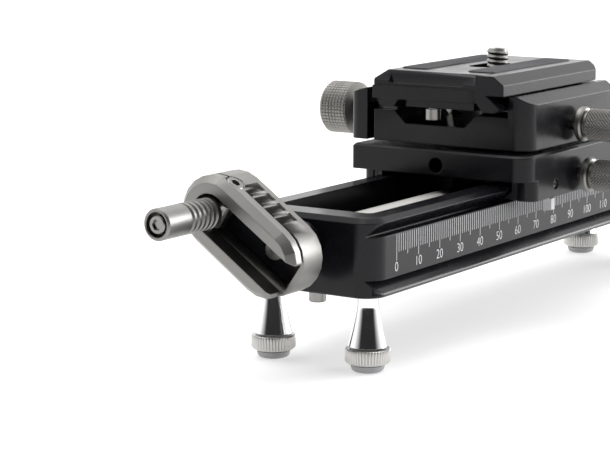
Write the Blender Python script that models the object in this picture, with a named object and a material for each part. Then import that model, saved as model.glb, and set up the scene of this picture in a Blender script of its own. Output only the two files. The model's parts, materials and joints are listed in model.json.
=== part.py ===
"""Macro focusing rail (camera slider): a grooved rail on four feet, a screw-driven
carriage, a turning quick-release clamp with its plate, and a folding crank.

Frame: +X runs along the rail away from the crank, the scale side faces -Y, +Z is up.
The origin is the middle of the rail's flat underside. Lengths below are in metres.
"""
import math

import bmesh
import bpy
from mathutils import Matrix, Vector

MM = 0.001
GAP = 0.3 * MM

# ---- driving dimensions -------------------------------------------------------------
RAIL_LENGTH = 180 * MM
RAIL_WIDTH = 38 * MM
RAIL_HEIGHT = 18.7 * MM
RAIL_CORNER = 5.5 * MM
RAIL_CHAMFER = 1.2 * MM
GROOVE_DEPTH = 2.9 * MM
LIP_HEIGHT = 1.2 * MM
SCALE_BOTTOM = 4.2 * MM
SCALE_TOP = 14.36 * MM
POCKET_HALF_WIDTH = 13.2 * MM
POCKET_END = 82 * MM
POCKET_FLOOR = 4.5 * MM
SPOT_FACE_DEPTH = 0.2 * MM
FOOT_SPOT_RADIUS = 3.0 * MM
STOP_SPOT_RADIUS = 2.5 * MM

SCREW_HEIGHT = 11.9 * MM
THREAD_RADIUS = 4.0 * MM
JOURNAL_RADIUS = 3.0 * MM
BEARING_RADIUS = 6.0 * MM
BEARING_WIDTH = 4.4 * MM

FOOT_X = 83.5 * MM
FOOT_Y = 13.4 * MM
FOOT_HEIGHT = 18.4 * MM
FOOT_TIP_HEIGHT = 2.0 * MM
FOOT_RING_HEIGHT = 3.6 * MM
FOOT_RING_BOTTOM = FOOT_TIP_HEIGHT - FOOT_HEIGHT
FOOT_RING_TOP = FOOT_RING_BOTTOM + FOOT_RING_HEIGHT
FOOT_NECK_RADIUS = 2.6 * MM
FOOT_FLARE_RADIUS = 4.75 * MM
FOOT_RING_RADIUS = 5.45 * MM
FOOT_STUD_RADIUS = 1.9 * MM
STOP_SCREW_X = 84.5 * MM

CARRIAGE_X = 1.5 * MM
CARRIAGE_HALF_LENGTH = 30.2 * MM
CARRIAGE_HALF_WIDTH = 26 * MM
CARRIAGE_CORNER = 4.5 * MM
CARRIAGE_FAR_CORNER = 0.9 * MM
PLATE_BOTTOM = 20.0 * MM
PLATE_TOP = 26.6 * MM
SKIRT_BOTTOM = 14.8 * MM
SKIRT_INSET = 3.5 * MM
SKIRT_STEP = 1.4 * MM
SKIRT_INNER = 21.2 * MM
GIB_TONGUE = 17.2 * MM
GIB_SCREW_HEIGHT = 18.0 * MM
GIB_SCREW_SPACING = 14.3 * MM
POINTER_X = -14.1 * MM

CLAMP_HALF_LENGTH = 25.9 * MM
CLAMP_RIGHT = -24 * MM
CLAMP_LEFT = 22 * MM
CLAMP_BOTTOM = 27.3 * MM
CLAMP_BED = 36.8 * MM
SHELF_HEIGHT = 35.5 * MM
SHELF_DEPTH = 2.6 * MM
JAW_TOP = 41.05 * MM
JAW_OUTER_TOP = 39.0 * MM
JAW_INNER_FACE = 23.9 * MM
JAW_OUTER_FACE = 29.4 * MM
JAW_CORNER = 2.5 * MM
WALL_INNER = 17.9 * MM
LIP_REACH = 15.4 * MM
JAW_BOSS_END = 34 * MM
KNOB_STANDOFF = 1.6 * MM
KNOB_NEAR = 41.9 * MM
KNOB_FAR = 51.8 * MM
KNOB_RADIUS = 7.3 * MM
CLAMP_SCREW_HEIGHT = 31.9 * MM
PAN_LOCK_HEIGHT = 32.1 * MM
CARRIAGE_LOCK_HEIGHT = 18.9 * MM
PLUG_Y = -14 * MM
GUIDE_HEIGHT = 30.6 * MM
CHANNEL_FLOOR = 32.3 * MM
TURNTABLE_RADIUS = 10 * MM
PAN_BOLT_RADIUS = 3.0 * MM

QR_HALF_WIDTH = 19 * MM
QR_FRONT = -29.0 * MM
QR_REAR = 25.4 * MM
QR_NOSE = 1.0 * MM
QR_NOSE_END = -9.4 * MM
QR_FLANGE = 17.6 * MM
QR_APEX = 13.9 * MM
QR_BOTTOM = 37.1 * MM
QR_TOP = 46.4 * MM
QR_LEDGE = 41.4 * MM
NOSE_TOP = 42.5 * MM
CAMERA_SCREW_X = 3.0 * MM
CAMERA_SCREW_RADIUS = 2.95 * MM
CAMERA_SCREW_HEAD = 6.0 * MM
SCREW_TRAVEL = 8.6 * MM
CORNER_SLANT = 1.55
WINDOW_BOTTOM = 43.2 * MM
WINDOW_TOP = 45.7 * MM
PLATE_STOP_Y = 3.3 * MM

CRANK_TILT = math.radians(34.7)
CRANK_BACK = -98 * MM
CRANK_BODY_FRONT = -106.2 * MM
CRANK_RIM_BACK = -107 * MM
CRANK_FRONT = -111 * MM
CRANK_RADIUS = 8.6 * MM
CRANK_UPPER = 15.1 * MM
CRANK_LOWER = -2.4 * MM
SLOT_WIDTH = 9.1 * MM
SLOT_FLOOR = -102.3 * MM
PIN_X = -106.8 * MM
GRIP_END = -130.3 * MM
GRIP_START = -110.3 * MM
GRIP_RADIUS = 3.7 * MM
STEM_RADIUS = 1.9 * MM
EYE_RADIUS = 2.9 * MM
EYE_HALF_LENGTH = 3.0 * MM
PIN_RADIUS = 1.3 * MM
HUB_RADIUS = 5.2 * MM

SEGMENTS = 24


# ---- small modelling kit ------------------------------------------------------------
def clear_scene():
    for old in list(bpy.data.objects):
        bpy.data.objects.remove(old, do_unlink=True)


def make_material(name, colour, roughness, metallic):
    material = bpy.data.materials.new(name)
    material.use_nodes = True
    shader = material.node_tree.nodes["Principled BSDF"]
    shader.inputs["Base Color"].default_value = (*colour, 1)
    shader.inputs["Roughness"].default_value = roughness
    shader.inputs["Metallic"].default_value = metallic
    return material


def add_object(name, mesh_data, material, smooth=False):
    mesh = bpy.data.meshes.new(name)
    mesh_data.normal_update()
    bmesh.ops.recalc_face_normals(mesh_data, faces=mesh_data.faces)
    mesh_data.to_mesh(mesh)
    mesh_data.free()
    if smooth:
        mesh.shade_smooth()
        mesh.set_sharp_from_angle(angle=math.radians(35))
    if material:
        mesh.materials.append(material)
    obj = bpy.data.objects.new(name, mesh)
    bpy.context.scene.collection.objects.link(obj)
    return obj


def place(axis, along, a, b):
    """A point 'along' the axis, with the outline's two coordinates in the other axes."""
    if axis == "X":
        return Vector((along, a, b))
    if axis == "Y":
        return Vector((a, along, b))
    return Vector((a, b, along))


def loft(sections, axis):
    """A closed solid through outlines [(along, [(a, b), ...]), ...] of equal length."""
    bm = bmesh.new()
    rings = []
    for along, outline in sections:
        rings.append([bm.verts.new(place(axis, along, a, b)) for a, b in outline])
    count = len(rings[0])
    for low, high in zip(rings, rings[1:]):
        for i in range(count):
            j = (i + 1) % count
            bm.faces.new((low[i], low[j], high[j], high[i]))
    bm.faces.new(rings[0])
    bm.faces.new(rings[-1])
    return bm


def prism(outline, axis, start, end):
    return loft([(start, outline), (end, outline)], axis)


def lathe(profile, axis, centre, segments=SEGMENTS):
    """A turned solid through [(along, radius), ...] about the axis at 'centre' (a, b)."""
    return loft([(along, circle(centre, radius, segments)) for along, radius in profile], axis)


def circle(centre, radius, segments=SEGMENTS):
    turn = 2 * math.pi / segments
    return [(centre[0] + radius * math.cos(turn * (i + 0.5)),
             centre[1] + radius * math.sin(turn * (i + 0.5))) for i in range(segments)]


def rounded_rectangle(low, high, radius, steps=5, far_radius=None):
    """A rectangle from corner (a, b) to corner (a, b); its two high-b corners may differ."""
    far = radius if far_radius is None else far_radius
    centres = ((high[0] - far, high[1] - far, 0, far), (low[0] + far, high[1] - far, 90, far),
               (low[0] + radius, low[1] + radius, 180, radius),
               (high[0] - radius, low[1] + radius, 270, radius))
    points = []
    for a, b, start, size in centres:
        for i in range(steps + 1):
            angle = math.radians(start + 90 * i / steps)
            points.append((a + size * math.cos(angle), b + size * math.sin(angle)))
    return points


def stadium(lower, upper, radius, steps=10):
    """An oval with its long axis along the crank's arm, as points in Y and Z."""
    points = []
    for end, start in ((upper, -90), (lower, 90)):
        for i in range(steps + 1):
            angle = math.radians(start + 180 * i / steps)
            points.append(arm_point(end + radius * math.cos(angle), radius * math.sin(angle)))
    return points


def arm_point(along, across):
    """The Y and Z of a point given along and across the crank's arm."""
    y = along * math.cos(CRANK_TILT) - across * math.sin(CRANK_TILT)
    z = along * math.sin(CRANK_TILT) + across * math.cos(CRANK_TILT)
    return y, SCREW_HEIGHT + z


def arm_outline(points):
    return [arm_point(along, across) for along, across in points]


def box(low, high):
    return prism([(low[0], low[1]), (high[0], low[1]), (high[0], high[1]), (low[0], high[1])],
                 "Z", low[2], high[2])


def boolean(target, tool_mesh, operation="DIFFERENCE"):
    """Cuts a tool out of a target, or joins it, and keeps the tool as a hidden cutter."""
    name = f"cutter_{target.name}_{len(target.modifiers)}"
    tool = add_object(name, tool_mesh, None)
    tool.hide_render = True
    tool.display_type = "WIRE"
    modifier = target.modifiers.new(operation.title(), "BOOLEAN")
    modifier.operation = operation
    modifier.solver = "EXACT"
    modifier.object = tool


def add_copies(name, meshes, material):
    """A repeated round piece: one object for each copy, numbered from 1."""
    return [add_object(f"{name}_{i}", mesh, material, smooth=True)
            for i, mesh in enumerate(meshes, 1)]


def joint_frame(name, location):
    empty = bpy.data.objects.new(name, None)
    empty.location = location
    empty.empty_display_size = 5 * MM
    bpy.context.scene.collection.objects.link(empty)
    return empty


def ride_on(parent, *objects):
    """Parents pieces that are modelled in world places to a joint's empty."""
    for obj in objects:
        obj.parent = parent
        obj.matrix_parent_inverse = Matrix.Translation(-world_place(parent))


def world_place(empty):
    place_now = Vector(empty.location)
    if empty.parent:
        place_now += world_place(empty.parent)
    return place_now


# ---- rail ---------------------------------------------------------------------------
def rail_outline(inset):
    half_length = RAIL_LENGTH / 2 - inset
    half_width = RAIL_WIDTH / 2 - inset
    return rounded_rectangle((-half_length, -half_width), (half_length, half_width),
                             RAIL_CORNER - inset, steps=8)


def groove_outline(side, open_z, apex_z, ledge_z):
    """A dovetail groove's section: a flat ledge, the apex and a 45 degree flank."""
    outer = RAIL_WIDTH / 2
    inner = outer - GROOVE_DEPTH
    slope = (open_z - apex_z) / GROOVE_DEPTH
    beyond = outer + 1 * MM
    return [(side * inner, apex_z), (side * beyond, apex_z + slope * (GROOVE_DEPTH + 1 * MM)),
            (side * beyond, ledge_z), (side * inner, ledge_z)]


def build_rail(black):
    foot = 0.4 * MM
    sections = [(0, rail_outline(foot)), (foot, rail_outline(0)),
                (RAIL_HEIGHT - RAIL_CHAMFER, rail_outline(0)),
                (RAIL_HEIGHT, rail_outline(RAIL_CHAMFER))]
    rail = add_object("rail_body", loft(sections, "Z"), black)
    reach = RAIL_LENGTH
    crown = RAIL_HEIGHT - RAIL_CHAMFER
    for side in (-1, 1):
        lower = groove_outline(side, LIP_HEIGHT, SCALE_BOTTOM - 0.1 * MM, SCALE_BOTTOM)
        upper = groove_outline(side, crown, SCALE_TOP + 0.1 * MM, SCALE_TOP)
        boolean(rail, prism(lower, "X", -reach, reach))
        boolean(rail, prism(upper, "X", -reach, reach))
    pocket = rounded_rectangle((-POCKET_END, -POCKET_HALF_WIDTH), (POCKET_END, POCKET_HALF_WIDTH),
                               2 * MM, steps=4)
    boolean(rail, prism(pocket, "Z", POCKET_FLOOR, RAIL_HEIGHT + 2 * MM))
    centre = (0, SCREW_HEIGHT)
    boolean(rail, lathe([(-reach, JOURNAL_RADIUS + GAP), (reach, JOURNAL_RADIUS + GAP)],
                        "X", centre))
    seat = POCKET_END + BEARING_WIDTH + 2 * GAP
    boolean(rail, lathe([(-seat, BEARING_RADIUS + GAP), (seat, BEARING_RADIUS + GAP)],
                        "X", centre))
    for x, y in foot_places():
        boolean(rail, lathe([(-1 * MM, FOOT_STUD_RADIUS + GAP), (8 * MM, FOOT_STUD_RADIUS + GAP)],
                            "Z", (x, y), 16))
        boolean(rail, spot_face((x, y), FOOT_SPOT_RADIUS))
    for x in stop_places():
        boolean(rail, lathe([(-1 * MM, 1.5 * MM), (4 * MM, 1.5 * MM)], "Z", (x, 0), 16))
        boolean(rail, spot_face((x, 0), STOP_SPOT_RADIUS))
    return rail


def spot_face(centre, radius):
    """Cutter for the shallow round seat under a foot's shoulder or a screw's head."""
    return lathe([(-1 * MM, radius), (SPOT_FACE_DEPTH, radius)], "Z", centre, 16)


def foot_places():
    return [(-FOOT_X, -FOOT_Y), (-FOOT_X, FOOT_Y), (FOOT_X, -FOOT_Y), (FOOT_X, FOOT_Y)]


def stop_places():
    return (-STOP_SCREW_X, STOP_SCREW_X)


def ring(radius, bore, axis, centre, start, end, segments=SEGMENTS):
    """A plain bush: a tube with square ends."""
    bm = bmesh.new()
    loops = []
    for along, size in ((start, radius), (end, radius), (end, bore), (start, bore)):
        loops.append([bm.verts.new(place(axis, along, a, b))
                      for a, b in circle(centre, size, segments)])
    for low, high in zip(loops, loops[1:] + loops[:1]):
        for i in range(segments):
            j = (i + 1) % segments
            bm.faces.new((low[i], low[j], high[j], high[i]))
    return bm


def build_bearings(steel, black):
    centre = (0, SCREW_HEIGHT)
    for name, side in (("front_bearing", -1), ("rear_bearing", 1)):
        inner = side * (POCKET_END + GAP)
        outer = side * (POCKET_END + GAP + BEARING_WIDTH)
        tube = ring(BEARING_RADIUS, JOURNAL_RADIUS + GAP, "X", centre, inner, outer)
        add_object(name, tube, steel, smooth=True)
    end = RAIL_LENGTH / 2
    cap = lathe([(end - 1.5 * MM, 2.9 * MM), (end - 0.1 * MM, 2.9 * MM)], "X", centre, 16)
    add_object("rear_bore_plug", cap, black, smooth=True)


def build_stop_screws(steel):
    screws = [lathe([(-3.1 * MM, 1.8 * MM), (-2.8 * MM, 2.1 * MM), (-GAP, 2.1 * MM),
                     (-GAP, 1.2 * MM), (3.5 * MM, 1.2 * MM)], "Z", (x, 0), 16)
              for x in stop_places()]
    add_copies("safety_stop_screw", screws, steel)


def foot_profile():
    """Radius down the polished foot: a straight neck that flares to the knurled ring."""
    top = -GAP
    flare_top = -2.5 * MM
    flare_bottom = FOOT_RING_TOP + GAP
    flare = FOOT_FLARE_RADIUS - FOOT_NECK_RADIUS
    points = [(flare_bottom, FOOT_FLARE_RADIUS)]
    steps = 5
    for i in range(1, steps + 1):
        share = i / steps
        points.append((flare_bottom + share * (flare_top - flare_bottom),
                       FOOT_NECK_RADIUS + flare * (1 - share) ** 1.6))
    points.append((top, FOOT_NECK_RADIUS))
    points.append((top, FOOT_STUD_RADIUS))
    points.append((7.5 * MM, FOOT_STUD_RADIUS))
    return points


def build_feet(chrome, satin, rubber):
    names = ("front_right", "front_left", "rear_right", "rear_left")
    for name, spot in zip(names, foot_places()):
        turn = joint_frame(f"axis_foot_{name}", (spot[0], spot[1], 0))
        cone = add_object(f"foot_cone_{name}", lathe(foot_profile(), "Z", spot, 20), chrome, True)
        ring_profile = [(FOOT_RING_BOTTOM, 4.9 * MM),
                        (FOOT_RING_BOTTOM + 0.5 * MM, FOOT_RING_RADIUS),
                        (FOOT_RING_TOP - 0.2 * MM, FOOT_RING_RADIUS), (FOOT_RING_TOP, 5.2 * MM)]
        knurl = add_object(f"foot_ring_{name}", lathe(ring_profile, "Z", spot, 20), satin, True)
        tip_profile = [(-FOOT_HEIGHT, 3.2 * MM), (-FOOT_HEIGHT + 0.6 * MM, 3.9 * MM),
                       (FOOT_RING_BOTTOM - GAP, 4.2 * MM)]
        tip = add_object(f"foot_tip_{name}", lathe(tip_profile, "Z", spot, 20), rubber, True)
        ride_on(turn, cone, knurl, tip)


# ---- crank and lead screw -----------------------------------------------------------
def build_lead_screw(steel):
    end = POCKET_END - GAP
    profile = [(-100.8 * MM, JOURNAL_RADIUS), (-end, JOURNAL_RADIUS), (-end, THREAD_RADIUS),
               (end, THREAD_RADIUS), (end, JOURNAL_RADIUS), (88 * MM, JOURNAL_RADIUS)]
    return add_object("lead_screw", lathe(profile, "X", (0, SCREW_HEIGHT)), steel, smooth=True)


def slot_outline(end, half_width, corner):
    """The handle's slot: a round upper end and a square lower end with small corners."""
    points = []
    for i in range(9):
        angle = math.radians(-90 + 180 * i / 8)
        points.append((CRANK_UPPER + half_width * math.cos(angle), half_width * math.sin(angle)))
    points += [(end + corner, half_width), (end, half_width - corner),
               (end, -half_width + corner), (end + corner, -half_width)]
    return arm_outline(points)


def across_cylinder(along, x, radius, start, end, segments=16):
    """A round bar square to the arm, at a place along the arm and in X."""
    sections = []
    turn = 2 * math.pi / segments
    bm = bmesh.new()
    for across in (start, end):
        loop = []
        for i in range(segments):
            y, z = arm_point(along + radius * math.cos(turn * i), across)
            loop.append(bm.verts.new((x + radius * math.sin(turn * i), y, z)))
        sections.append(loop)
    for i in range(segments):
        j = (i + 1) % segments
        bm.faces.new((sections[0][i], sections[0][j], sections[1][j], sections[1][i]))
    bm.faces.new(sections[0])
    bm.faces.new(sections[1])
    return bm


def build_crank(grey, black, steel):
    half_slot = SLOT_WIDTH / 2
    outline = stadium(CRANK_LOWER, CRANK_UPPER, CRANK_RADIUS)
    small = stadium(CRANK_LOWER, CRANK_UPPER, CRANK_RADIUS - 0.5 * MM)
    body = add_object("crank_body", loft([(CRANK_BODY_FRONT, outline),
                                          (CRANK_BACK - 0.5 * MM, outline),
                                          (CRANK_BACK, small)], "X"), grey)
    closed_end = -9.1 * MM
    boolean(body, prism(slot_outline(closed_end, half_slot, 0.8 * MM), "X",
                        CRANK_BODY_FRONT - 1 * MM, SLOT_FLOOR + GAP))
    hub_recess = stadium(CRANK_LOWER, CRANK_UPPER, 6.6 * MM)
    boolean(body, prism(hub_recess, "X", SLOT_FLOOR, CRANK_BACK + 1 * MM))
    flute_radius = 1.5 * MM
    for along in (12.2, 8.6, 5.0, 1.4):
        centre = arm_point(along * MM, CRANK_RADIUS + 0.55 * MM)
        boolean(body, lathe([(CRANK_BODY_FRONT - 1 * MM, flute_radius),
                             (CRANK_BACK - 2.2 * MM, flute_radius)], "X", centre, 12))
    rim = build_crank_rim(grey, half_slot)
    pin_hole = PIN_RADIUS + GAP
    for part in (body, rim):
        boolean(part, across_cylinder(CRANK_UPPER, PIN_X, pin_hole, -10 * MM, 10 * MM))
        boolean(part, across_cylinder(CRANK_UPPER, PIN_X, 2.5 * MM, 7.0 * MM, 10 * MM))
    hub = add_object("crank_hub", prism(stadium(CRANK_LOWER, CRANK_UPPER, 6.3 * MM), "X",
                                        SLOT_FLOOR + GAP, CRANK_BACK - 0.2 * MM), black)
    centre = (0, SCREW_HEIGHT)
    boss = [(CRANK_BACK - 2 * MM, HUB_RADIUS), (-90.6 * MM, HUB_RADIUS)]
    boolean(hub, lathe(boss, "X", centre), "UNION")
    boolean(hub, lathe([(-101.1 * MM, JOURNAL_RADIUS + GAP), (-90 * MM, JOURNAL_RADIUS + GAP)],
                       "X", centre))
    boolean(hub, lathe([(-103 * MM, 1.5 * MM), (-100 * MM, 1.5 * MM)], "X", centre, 12))
    screw = add_object("crank_fixing_screw",
                       lathe([(SLOT_FLOOR - 0.45 * MM, 2.2 * MM), (SLOT_FLOOR, 2.6 * MM),
                              (SLOT_FLOOR, 1.2 * MM), (-101.1 * MM, 1.2 * MM)],
                             "X", centre, 16), steel, smooth=True)
    pin = add_object("handle_hinge_screw",
                     across_cylinder(CRANK_UPPER, PIN_X, PIN_RADIUS, -7.6 * MM, 8.2 * MM),
                     steel, smooth=True)
    boolean(pin, across_cylinder(CRANK_UPPER, PIN_X, 2.1 * MM, 7.35 * MM, 8.4 * MM), "UNION")
    return [body, rim, hub, screw, pin]


def build_crank_rim(grey, half_slot):
    outline = stadium(CRANK_LOWER, CRANK_UPPER, CRANK_RADIUS)
    chamfered = stadium(CRANK_LOWER, CRANK_UPPER, CRANK_RADIUS - 1.6 * MM)
    spigot = stadium(CRANK_LOWER, CRANK_UPPER, CRANK_RADIUS - 0.8 * MM)
    sections = [(CRANK_FRONT, chamfered), (CRANK_FRONT + 1.9 * MM, outline),
                (CRANK_RIM_BACK, outline), (CRANK_RIM_BACK, spigot),
                (CRANK_BODY_FRONT - GAP, spigot)]
    rim = add_object("crank_rim", loft(sections, "X"), grey)
    boolean(rim, prism(slot_outline(-14 * MM, half_slot, 0.8 * MM), "X",
                       CRANK_FRONT - 1 * MM, CRANK_BODY_FRONT + 1 * MM))
    thumb_cut = [(-8.6, -10), (-8.4, -4.6), (-9.4, 4.6), (-9.4, 10), (-16, 10), (-16, -10)]
    boolean(rim, prism(arm_outline([(a * MM, b * MM) for a, b in thumb_cut]), "X",
                       CRANK_FRONT - 1 * MM, CRANK_BODY_FRONT + 1 * MM))
    return rim


def build_handle(grey, steel):
    y, z = arm_point(CRANK_UPPER, 0)
    centre = (y, z)
    eye = across_cylinder(CRANK_UPPER, PIN_X, EYE_RADIUS, -EYE_HALF_LENGTH, EYE_HALF_LENGTH)
    stem = add_object("handle_stem", eye, steel)
    spindle = [(-129.2 * MM, STEM_RADIUS), (PIN_X - 1.8 * MM, STEM_RADIUS)]
    boolean(stem, lathe(spindle, "X", centre, 16), "UNION")
    boolean(stem, across_cylinder(CRANK_UPPER, PIN_X, PIN_RADIUS + GAP, -5 * MM, 5 * MM))
    profile = [(GRIP_START, GRIP_RADIUS - 0.4 * MM), (GRIP_START - 0.4 * MM, GRIP_RADIUS),
               (GRIP_END + 0.4 * MM, GRIP_RADIUS), (GRIP_END, GRIP_RADIUS - 0.4 * MM)]
    sleeve = add_object("handle_grip", lathe(profile[::-1], "X", centre), grey, smooth=True)
    bore = STEM_RADIUS + GAP
    boolean(sleeve, lathe([(GRIP_END - 1 * MM, bore), (GRIP_START + 1 * MM, bore)], "X", centre, 16))
    counterbore = 2.7 * MM
    boolean(sleeve, lathe([(GRIP_END - 1 * MM, counterbore), (-127.4 * MM, counterbore)],
                          "X", centre, 16))
    head = add_object("grip_end_screw",
                      ring(2.25 * MM, 1.1 * MM, "X", centre, -129.5 * MM, -130.1 * MM, 12),
                      steel, smooth=True)
    return stem, sleeve, head


def build_crank_side(mats):
    spin = joint_frame("axis_crank", (CRANK_BACK, 0, SCREW_HEIGHT))
    ride_on(spin, build_lead_screw(mats["steel"]),
            *build_crank(mats["silver_grey"], mats["black"], mats["steel"]))
    y, z = arm_point(CRANK_UPPER, 0)
    fold = joint_frame("axis_handle_fold", (PIN_X, y, z))
    turn = joint_frame("axis_grip_spin", (GRIP_END, y, z))
    stem, sleeve, head = build_handle(mats["silver_grey"], mats["steel"])
    ride_on(fold, stem, head)
    ride_on(turn, sleeve)


# ---- carriage -----------------------------------------------------------------------
def carriage_outline(inset):
    reach = CARRIAGE_HALF_LENGTH - inset
    side = CARRIAGE_HALF_WIDTH - inset
    return rounded_rectangle((CARRIAGE_X - reach, -side), (CARRIAGE_X + reach, side),
                             CARRIAGE_CORNER - inset, far_radius=CARRIAGE_FAR_CORNER)


def build_carriage_plate(black):
    edge = 0.6 * MM
    plate = add_object("carriage_plate", loft([(PLATE_BOTTOM, carriage_outline(0)),
                                               (PLATE_TOP - edge, carriage_outline(0)),
                                               (PLATE_TOP, carriage_outline(edge))], "Z"), black)
    front = CARRIAGE_X - CARRIAGE_HALF_LENGTH + SKIRT_INSET
    rear = CARRIAGE_X + CARRIAGE_HALF_LENGTH - SKIRT_INSET
    for side in (-1, 1):
        if side < 0:
            skirt = rounded_rectangle((front, -CARRIAGE_HALF_WIDTH), (rear, -SKIRT_INNER),
                                      3 * MM, 4, far_radius=0.4 * MM)
        else:
            skirt = rounded_rectangle((front, SKIRT_INNER), (rear, CARRIAGE_HALF_WIDTH - SKIRT_STEP),
                                      0.4 * MM, 4, far_radius=2 * MM)
        boolean(plate, prism(skirt, "Z", SKIRT_BOTTOM, PLATE_BOTTOM + 1 * MM), "UNION")
    mid = (CARRIAGE_X, 0)
    recess = TURNTABLE_RADIUS + GAP
    boolean(plate, lathe([(PLATE_TOP - 1.6 * MM, recess), (PLATE_TOP + 1 * MM, recess)], "Z", mid))
    boolean(plate, lathe([(PLATE_BOTTOM - 1 * MM, 3.4 * MM), (PLATE_TOP, 3.4 * MM)], "Z", mid, 16))
    boolean(plate, lathe([(PLATE_BOTTOM - 1 * MM, 5.4 * MM), (22.2 * MM, 5.4 * MM)], "Z", mid, 20))
    front_face = CARRIAGE_X - CARRIAGE_HALF_LENGTH
    boolean(plate, lathe([(front_face - 1 * MM, 2.0 * MM), (front_face + 6 * MM, 2.0 * MM)],
                         "X", (0.5 * MM, 22.6 * MM), 20))
    boolean(plate, lathe([(-CARRIAGE_HALF_WIDTH - 1 * MM, 2.1 * MM), (-SKIRT_INNER + 1 * MM, 2.1 * MM)],
                         "Y", (CARRIAGE_X, CARRIAGE_LOCK_HEIGHT), 16))
    for x in gib_screw_places():
        boolean(plate, lathe([(-CARRIAGE_HALF_WIDTH - 1 * MM, 1.35 * MM), (-SKIRT_INNER + 1 * MM, 1.35 * MM)],
                             "Y", (x, GIB_SCREW_HEIGHT), 12))
    for x, y in nut_screw_places():
        boolean(plate, lathe([(PLATE_BOTTOM - 1 * MM, 1.3 * MM), (PLATE_TOP + 1 * MM, 1.3 * MM)],
                             "Z", (x, y), 12))
        boolean(plate, lathe([(PLATE_TOP - 2.2 * MM, 2.4 * MM), (PLATE_TOP + 1 * MM, 2.4 * MM)],
                             "Z", (x, y), 12))
    return plate


def gib_screw_places():
    return (CARRIAGE_X - GIB_SCREW_SPACING, CARRIAGE_X + GIB_SCREW_SPACING)


def nut_screw_places():
    return [(CARRIAGE_X + dx * MM, dy * MM) for dx in (-13, 13) for dy in (-6, 6)]


def build_gibs(polymer):
    """Two sliding strips, each with a tongue that fills the rail's upper groove."""
    reach = CARRIAGE_HALF_LENGTH - SKIRT_INSET - 1 * MM
    front = CARRIAGE_X - reach
    rear = CARRIAGE_X + reach
    root = RAIL_WIDTH / 2 + GAP
    back = SKIRT_INNER - GAP
    strips = []
    for name, side in (("gib_strip_right", -1), ("gib_strip_left", 1)):
        outline = [(side * GIB_TONGUE, SKIRT_BOTTOM), (side * back, SKIRT_BOTTOM),
                   (side * back, PLATE_BOTTOM - GAP), (side * root, PLATE_BOTTOM - GAP),
                   (side * root, 17.0 * MM), (side * GIB_TONGUE, 15.1 * MM)]
        strips.append(add_object(name, prism(outline, "X", front, rear), polymer))
    return strips


def build_lead_nut(polymer):
    low = (CARRIAGE_X - 16 * MM, -9 * MM, 17.2 * MM)
    high = (CARRIAGE_X + 16 * MM, 9 * MM, PLATE_BOTTOM - GAP)
    nut = add_object("lead_nut", box(low, high), polymer)
    boolean(nut, box((CARRIAGE_X - 9 * MM, -7.5 * MM, 6 * MM),
                     (CARRIAGE_X + 9 * MM, 7.5 * MM, 18 * MM)), "UNION")
    bore = THREAD_RADIUS + GAP
    boolean(nut, lathe([(CARRIAGE_X - 20 * MM, bore), (CARRIAGE_X + 20 * MM, bore)],
                       "X", (0, SCREW_HEIGHT)))
    for x, y in nut_screw_places():
        boolean(nut, lathe([(16.8 * MM, 1.3 * MM), (21 * MM, 1.3 * MM)], "Z", (x, y), 12))
    return nut


def build_carriage_small_parts(steel, white):
    screws = [lathe([(17.3 * MM, 1.0 * MM), (PLATE_TOP - 1.9 * MM, 1.0 * MM),
                     (PLATE_TOP - 1.9 * MM, 2.1 * MM), (PLATE_TOP - 0.1 * MM, 2.1 * MM)],
                    "Z", spot, 12) for spot in nut_screw_places()]
    nut_screws = add_copies("nut_screw", screws, steel)
    grubs = [lathe([(-CARRIAGE_HALF_WIDTH + 0.3 * MM, 1.05 * MM), (-SKIRT_INNER, 1.05 * MM)],
                   "Y", (x, GIB_SCREW_HEIGHT), 12) for x in gib_screw_places()]
    gib_screws = add_copies("gib_set_screw", grubs, steel)
    low = (POINTER_X - 1.3 * MM, -CARRIAGE_HALF_WIDTH + 0.1 * MM, 11.2 * MM)
    high = (POINTER_X + 1.3 * MM, -CARRIAGE_HALF_WIDTH + 2.3 * MM, SKIRT_BOTTOM - GAP)
    pointer = add_object("scale_pointer", box(low, high), white)
    return [*nut_screws, *gib_screws, pointer]


def knob_profile(start, direction, collar_radius, grip_radius, length, spindle_radius, spindle_end):
    """Spindle, bright collar and grip of a clamping knob, as (along, radius)."""
    return [(spindle_end, spindle_radius), (start, spindle_radius), (start, collar_radius),
            (start + direction * 1.7 * MM, collar_radius),
            (start + direction * 2.2 * MM, collar_radius - 0.5 * MM),
            (start + direction * 2.2 * MM, grip_radius - 0.7 * MM),
            (start + direction * 2.8 * MM, grip_radius - 0.7 * MM),
            (start + direction * 3.0 * MM, grip_radius),
            (start + direction * (length - 0.8 * MM), grip_radius),
            (start + direction * length, grip_radius - 0.8 * MM)]


def build_side_knob(name, height, face, spindle_end, champagne):
    """A knob on the scale side whose spindle presses what it locks."""
    profile = knob_profile(face - KNOB_STANDOFF, -1, 4.6 * MM, 4.25 * MM, 17.5 * MM, 1.7 * MM, spindle_end)
    return add_object(name, lathe(profile, "Y", (CARRIAGE_X, height)), champagne, smooth=True)


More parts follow.
